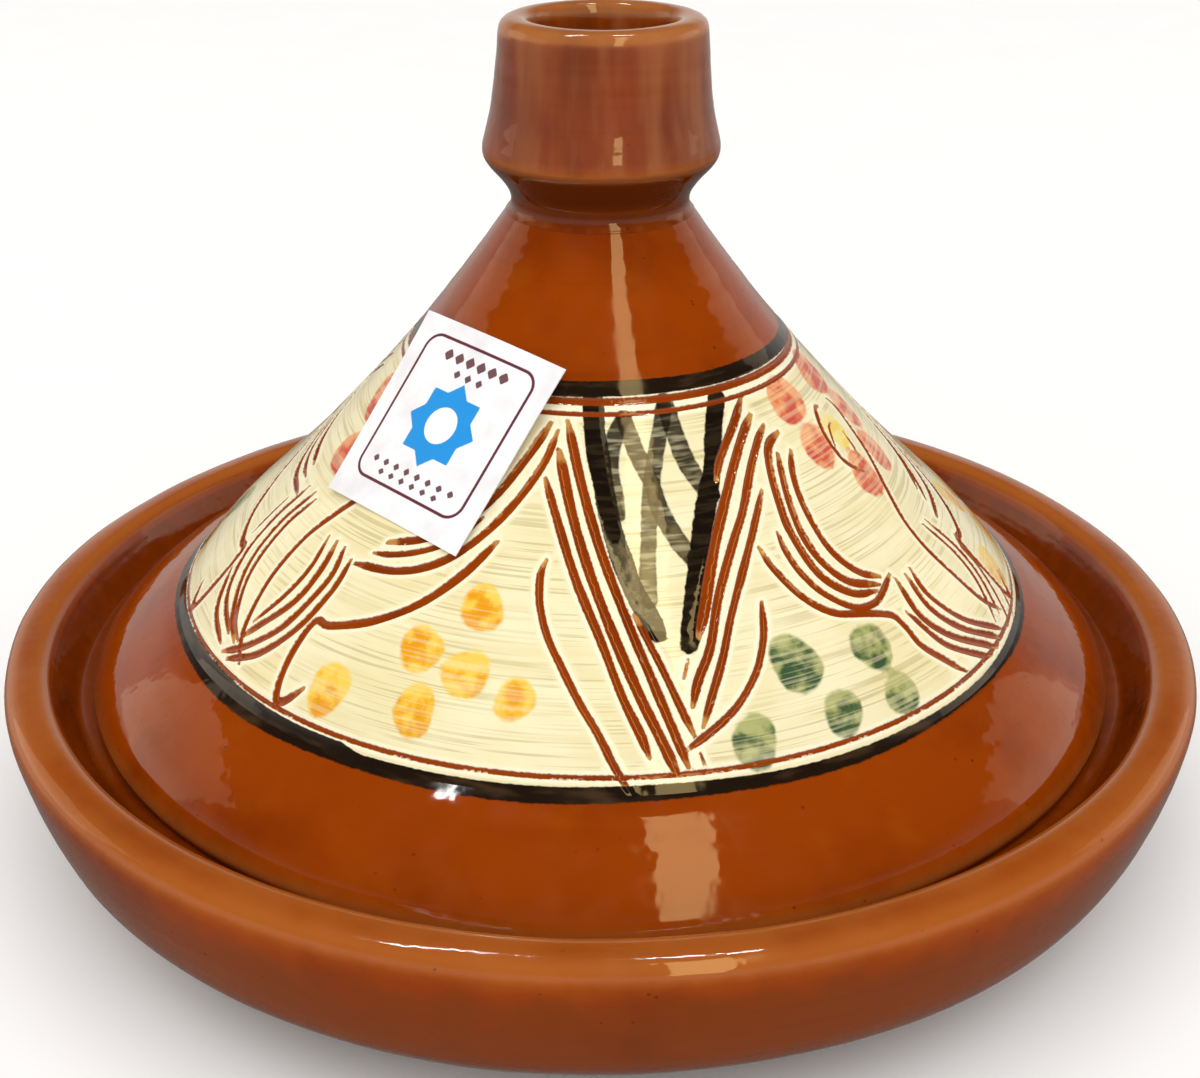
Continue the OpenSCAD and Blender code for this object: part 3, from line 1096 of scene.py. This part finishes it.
def with_bands(f, colour):
    """The colour with the black bands that are painted round the cone."""
    ink = f.mix(tone(28, 17, 8), tone(62, 44, 26), f.ramp(f.noise(2.4, (6, 6, 1), shift=1.3), 0.5, 0.75))
    edge = f.sum(f.value("band"), f.sum(-0.25, f.noise(1.6, detail=3, shift=2.9), 0.5))
    return f.mix(colour, ink, f.ramp(edge, 0.12, -0.2))


def clay_finish(name, streaks=0.0, bands=False, painted_shade=0.0, pale=0.0):
    """The brown glaze of the bare parts, by shares streaked and darkened with painted shade on the sides,
    and pale on top with painted light.
    """
    f = Finish(name)
    colour = clay_colour(f, f.value("edge"), f.value("under"))
    if painted_shade:
        # Painted shade: the piece is darkened in tall clouds, less on its edges, and most on faces that
        # look down
        shade_clouds = f.ramp(f.noise(14, (1, 1, 3), detail=3, shift=15.0), 0.35, 0.65, painted_shade * 0.45, painted_shade)
        colour = f.mix(colour, CLAY_POOL_AND_SHADE, f.times(shade_clouds, f.ramp(f.value("edge"), 0.45, 0.10, 0.2, 1)))
        colour = f.mix(colour, CLAY_POOL_AND_SHADE, f.ramp(f.value("under"), 0.2, 0.6, 0, 0.85))
    if pale:
        # Painted light: faces that look up are painted paler, in clouds
        cloud = f.ramp(f.noise(24, detail=4, shift=21.0), 0.35, 0.65, 0.5 * pale, pale)
        colour = f.mix(colour, CLAY_TOP_LIGHT, f.times(cloud, f.ramp(f.value("under"), -0.35, -0.90)))
    if bands:
        colour = with_bands(f, colour)
    if streaks:
        side = f.times(f.ramp(f.value("edge"), -0.35, -0.10), f.ramp(f.value("under"), 0.25, 0.0))
        for size, share in ((11, streaks), (3.5, 0.3 * streaks)):
            runs = f.noise(size, (1, 1, 8), detail=2, shift=12.0 + size)
            colour = f.mix(colour, CLAY_TAN, f.times(side, f.ramp(runs, 0.48, 0.68, 0, share)))
            colour = f.mix(colour, CLAY_POOL_AND_SHADE, f.times(side, f.ramp(runs, 0.48, 0.30, 0, share)))
        colour = f.mix(colour, CLAY_TAN, f.ramp(f.value("edge"), 0.28, 0.65, 0, 0.35))
    return glazed(f, colour, 0.10)


def bare_slip(f, cut):
    """Slip that is thin along the wheel's lines in the open field, thick and clean beside cuts."""
    field = f.ramp(cut, 0.5, 2.2)
    slip = f.mix(tone(233, 224, 184), tone(228, 216, 170), f.ramp(f.noise(20, detail=3), 0.4, 0.7))
    lines = f.noise(0.50, (90, 90, 1), detail=1, shift=7.0)
    patches = f.ramp(f.noise(11, (2.2, 2.2, 1), detail=2, shift=11.0), 0.30, 0.62, 0.3, 1.0)
    broad = f.noise(2.2, (24, 24, 1), detail=2, shift=17.0)
    slip = f.mix(slip, tone(218, 203, 150), f.times(f.ramp(broad, 0.44, 0.66, 0, 0.45), field))
    thin = f.times(f.times(f.ramp(lines, 0.53, 0.63), patches), field)
    slip = f.mix(slip, tone(178, 160, 104), f.times(thin, 0.52))
    return f.mix(tone(238, 232, 200), slip, f.ramp(cut, 0.3, 1.3))


def with_washes(f, slip, brushed):
    """Thin grey-brown washes, loaded at the top, which show the slip's lines and have dark rims."""
    loaded = f.ramp(f.up(), (FIELD_HIGH - 26) * MM, FIELD_HIGH * MM, 0, 0.22)
    wash = f.sum(f.noise(6, detail=3, shift=3.0), loaded)
    wash = f.mix(tone(92, 80, 48), tone(34, 26, 14), f.ramp(wash, 0.42, 0.66))
    for name in ("wash_a", "wash_b"):
        edge = f.sum(f.value(name), f.sum(-0.35, f.noise(2.0, detail=2, shift=4.4), 0.7))
        rim = f.ramp(edge, -1.3, -0.2)
        body = f.times(f.ramp(edge, 0.25, -0.30), f.ramp(brushed, 0.32, 0.54, 0.66, 0.96))
        slip = f.mix(slip, f.mix(wash, INK, f.times(rim, 0.45)), body)
    return slip


def with_dabs(f, slip):
    """Finger dabs, thicker towards their lower side and combed by the lines of the slip."""
    dab = f.value("dab")
    edge = f.sum(dab, f.sum(-0.7, f.noise(3.0, detail=3, shift=1.0), 1.4))
    thick = f.sum(f.noise(5.0, (1, 1, 0.8), detail=3, shift=13.0), f.value("dab_low"), 0.12)
    thick = f.sum(thick, dab, -0.022)
    paint = f.mix(f.tint("dab_thin"), f.tint("dab_dense"), f.ramp(thick, 0.42, 0.70))
    cover = f.times(f.ramp(edge, 0.40, -0.7), f.ramp(thick, 0.34, 0.62, 0.86, 0.98))
    cover = f.times(cover, f.ramp(f.noise(0.7, (60, 60, 1), detail=2, shift=27.0), 0.46, 0.60, 1.0, 0.68))
    return f.mix(slip, paint, cover)


def with_strokes(f, slip, brushed, fuzz):
    """The thinned black stroke, mottled, and the solid ones over it."""
    mottle = f.ramp(f.noise(1.5, (1, 1, 2.2), detail=3, shift=6.1), 0.46, 0.62)
    edge = f.sum(f.value("thinned"), f.sum(-0.30, fuzz, 0.6))
    ink = f.mix(INK, tone(84, 71, 42), f.times(mottle, f.ramp(edge, -0.3, -1.2)))
    slip = f.mix(slip, ink, f.times(f.ramp(edge, 0.15, -0.2), 0.93))
    edge = f.sum(f.value("heavy"), f.sum(-0.45, f.noise(1.3, (1, 1, 3), detail=3, shift=2.9), 0.9))
    dense = f.mix(tone(20, 12, 6), tone(40, 30, 17), f.ramp(brushed, 0.40, 0.62))
    return f.mix(slip, dense, f.ramp(edge, 0.2, -0.25))


def band_finish():
    """Cream slip, cut through to the clay, painted and glazed."""
    f = Finish("slip_glaze")
    fuzz = f.noise(0.9, detail=3, shift=2.2)
    cut = f.value("cut")
    brushed = f.noise(0.8, (12, 12, 1.3), detail=2, shift=5.0)
    slip = with_washes(f, bare_slip(f, cut), brushed)
    slip = with_strokes(f, with_dabs(f, slip), brushed, fuzz)
    # Cuts show the clay, with scraps of slip left where the tool began and ended
    scraps = f.sum(f.value("scraped"), f.noise(3.5, detail=3, shift=6.6), 12.0)
    groove = f.mix(tone(186, 132, 66), clay_colour(f), f.ramp(scraps, 5.8, 9.0))
    edge = f.sum(cut, f.sum(-0.22, fuzz, 0.44))
    colour = f.mix(slip, groove, f.ramp(edge, 0.16, -0.16))
    return glazed(f, with_bands(f, colour), 0.07)


def label_finish():
    """White printed paper: a maroon frame, a blue star and rows of small lozenges."""
    f = Finish("printed_paper")
    paper = f.mix(tone(238, 236, 237), tone(224, 222, 225), f.ramp(f.noise(9, detail=4), 0.40, 0.75))
    fuzz = f.sum(-0.05, f.noise(0.5, detail=2), 0.1)
    line = f.sum(-0.38, f.node("Math", {0: f.value("frame_gap")}, operation="ABSOLUTE").outputs[0])
    inks = ((f.value("star_gap"), tone(22, 140, 214)), (f.value("heart_gap"), tone(240, 242, 246)),
            (line, tone(92, 30, 48)), (f.value("lozenge_gap"), tone(104, 70, 74)))
    for gap, ink in inks:
        paper = f.mix(paper, ink, f.ramp(f.sum(gap, fuzz), 0.14, -0.10))
    roughness = f.ramp(f.noise(4, detail=3, shift=3.0), 0.3, 0.7, 0.42, 0.60)
    return f.finish(paper, roughness, f.bump(f.noise(0.6, detail=3), 0.015))


# ---------------------------------------------------------------- the object

def add_piece(obj, material, body, slot, *nodes):
    """Gives a piece its material and says what it rides on and stands for."""
    obj.data.materials.append(material)
    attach(obj, body)
    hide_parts(*nodes)


add_piece(make_dish(), clay_finish("dish_clay", pale=0.65), "dish", "dish_glaze", "dish")
add_piece(make_lid(), clay_finish("lid_clay", bands=True), "lid", "lid_glaze", "lid_cone")
add_piece(make_band(), band_finish(), "lid", "lid_glaze", "lid_cone")
add_piece(make_knob(), clay_finish("knob_clay", streaks=0.28, painted_shade=0.38), "lid", "knob_glaze", "lid_knob")
add_piece(make_label(), label_finish(), "lid", "label_paper", "label")


# ---------------------------------------------------------------- floor, light and camera

# Places and sizes here are in metres: the middle of the object, and half the floor's side
MIDDLE = (0, 0, 0.10)
FLOOR = 4
# Colour of the two side windows
WARM = (1.0, 0.82, 0.56)


def add_floor():
    """A plain pale floor, which isn't mirrored in the glaze."""
    mesh = bpy.data.meshes.new("floor")
    square = ((-1, -1), (1, -1), (1, 1), (-1, 1))
    mesh.from_pydata([(x * FLOOR, y * FLOOR, 0) for x, y in square], [], [(0, 1, 2, 3)])
    floor = linked("floor", mesh)
    f = Finish("floor_paper")
    pale = f.mix((0.94, 0.94, 0.94), (0.91, 0.91, 0.91), f.noise(60, detail=3))
    f.feed(f.shader.inputs["Base Color"], pale)
    f.feed(f.shader.inputs["Roughness"], 0.9)
    mesh.materials.append(f.material)
    floor.visible_glossy = False


def add_lamp(name, place, width, height, watts, colour=(1, 1, 1), roll=0, fills=False):
    """A rectangular lamp that faces the object; unless it fills, it only shows as a highlight."""
    lamp = bpy.data.lights.new(name, "AREA")
    lamp.shape = "RECTANGLE"
    lamp.size = width
    lamp.size_y = height
    lamp.energy = watts
    lamp.color = colour
    obj = linked(name, lamp)
    obj.location = place
    facing = (Vector(MIDDLE) - Vector(place)).to_track_quat("-Z", "Y")
    obj.rotation_euler = (facing @ Quaternion((0, 0, 1), math.radians(roll))).to_euler()
    obj.visible_diffuse = fills


def add_sun(strength, place, spread):
    """Even, soft daylight that isn't mirrored in the glaze."""
    lamp = bpy.data.lights.new("daylight", "SUN")
    lamp.energy = strength
    lamp.angle = math.radians(spread)
    obj = linked("daylight", lamp)
    obj.rotation_euler = (-Vector(place)).to_track_quat("-Z", "Y").to_euler()
    obj.visible_glossy = False


def add_room():
    """A dim room with a pale wall round it, so that only glancing views mirror white."""
    world = bpy.data.worlds.new("room")
    n = Nodes(world, "Generated")
    up = n.up()
    below = n.ramp(up, -0.35, 0.02, 0.24, 1.0)
    above = n.ramp(up, 0.20, 0.55, 0.78, 0.06)
    back = n.tree.nodes["Background"]
    n.feed(back.inputs["Strength"], n.times(below, above))
    n.feed(back.inputs["Color"], (1.0, 0.95, 0.88))
    bpy.context.scene.world = world


def add_camera():
    """The view of the photograph: from above the knob's height, looking down."""
    camera = bpy.data.cameras.new("camera")
    camera.lens = 54.83
    camera.sensor_width = 36
    camera.clip_start = 0.01
    obj = linked("camera", camera)
    obj.location = (0, -0.4531, 0.2941)
    obj.rotation_euler = (math.radians(90 - 25.57), 0, 0)
    bpy.context.scene.camera = obj


add_floor()
add_camera()
add_room()
add_sun(3.2, (0.0, -0.50, 1.0), 80)
add_lamp("strip", (0.363, -0.899, 1.18), 0.25, 1.9, 11.0, (1.0, 0.74, 0.32), roll=-12)
add_lamp("lamp_a", (-0.34, 0.25, 1.5), 0.60, 0.04, 4.4)
add_lamp("lamp_b", (0.16, 0.30, 1.5), 0.16, 0.04, 2.0)
add_lamp("lamp_c", (0.30, 0.20, 1.5), 0.05, 0.05, 1.0)
add_lamp("left", (-1.25, 0.45, 0.60), 0.8, 0.7, 1.6, WARM, fills=True)
add_lamp("right", (1.25, 0.45, 0.55), 0.8, 0.6, 1.2, WARM, fills=True)
bpy.context.scene.view_settings.view_transform = "Standard"
